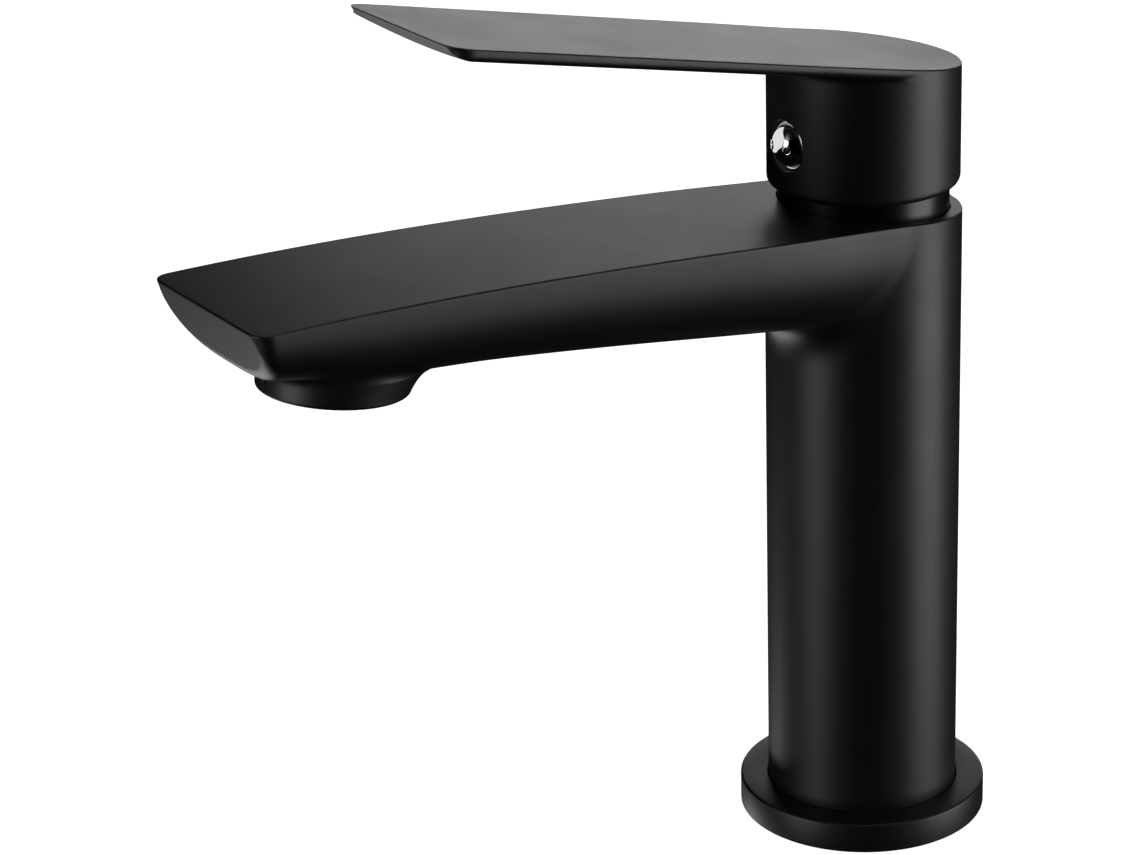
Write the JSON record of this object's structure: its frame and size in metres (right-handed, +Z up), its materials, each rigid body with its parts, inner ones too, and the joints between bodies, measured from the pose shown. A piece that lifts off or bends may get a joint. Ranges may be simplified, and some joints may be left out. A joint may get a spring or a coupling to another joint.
{
  "type": "bathroom mixer faucet",
  "caption": "Matt black single-lever basin mixer with a flat-topped spout, a round column on a foot ring, a lever on a cylindrical skirt and a chrome indicator plug.",
  "frame": {"origin": "centre of the foot ring's underside, on the deck's surface", "axes": "+Z up along the column, -Y the way the spout and lever point, +X to the user's right when facing +Y"},
  "size_m": [0.052, 0.1753, 0.2479],
  "materials": {
    "matt_black": "fine-textured matt black powder coat",
    "chrome": "polished chrome plate",
    "brass": "machined brass",
    "steel": "turned stainless and zinc-plated steel",
    "black_rubber": "moulded black rubber",
    "white_plastic": "moulded white acetal",
    "grey_plastic": "moulded grey glass-filled nylon",
    "ceramic": "lapped alumina",
    "red_enamel": "red enamel dot",
    "blue_enamel": "dark blue enamel dot"
  },
  "bodies": {
    "root": {"body": "matt_black", "foot_ring": "matt_black", "foot_seal": "black_rubber", "dome_cap": "matt_black", "retaining_nut": "brass", "cartridge_housing": "grey_plastic", "cartridge_base": "white_plastic", "hot_port_seal": "black_rubber", "cold_port_seal": "black_rubber", "mixed_port_seal": "black_rubber", "fixed_disc": "ceramic", "turret_seal": "black_rubber", "aerator_shell": "steel", "aerator_screen": "steel", "aerator_insert": "white_plastic", "aerator_washer": "black_rubber", "fixing_stud": "steel", "horseshoe_gasket": "black_rubber", "horseshoe_washer": "steel", "fixing_nut": "brass"},
    "turret_unit": {"turret": "white_plastic", "pivot_pin": "steel"},
    "disc_unit": {"disc_carrier": "white_plastic", "moving_disc": "ceramic"},
    "handle_unit": {"lever_handle": "matt_black", "lever_stem": "steel", "grub_screw": "steel", "indicator_plug": "chrome", "hot_dot": "red_enamel", "cold_dot": "blue_enamel"}
  },
  "joints": [
    {"name": "temperature_turn", "type": "hinge", "parent": "root", "child": "turret_unit", "pos_m": [0, 0, 0.128], "axis": [0, 0, 1], "range_deg": [-45, 45]},
    {"name": "lever_lift", "type": "hinge", "parent": "turret_unit", "child": "handle_unit", "pos_m": [0, 0, 0.128], "axis": [-1, 0, 0], "range_deg": [0, 20]},
    {"name": "disc_slide", "type": "slide", "parent": "turret_unit", "child": "disc_unit", "axis": [0, -1, 0], "range_m": [0, 0.0055]}
  ],
  "couplings": [
    {"joint": "disc_slide", "follows": "lever_lift", "m_per_rad": 0.0155}
  ]
}
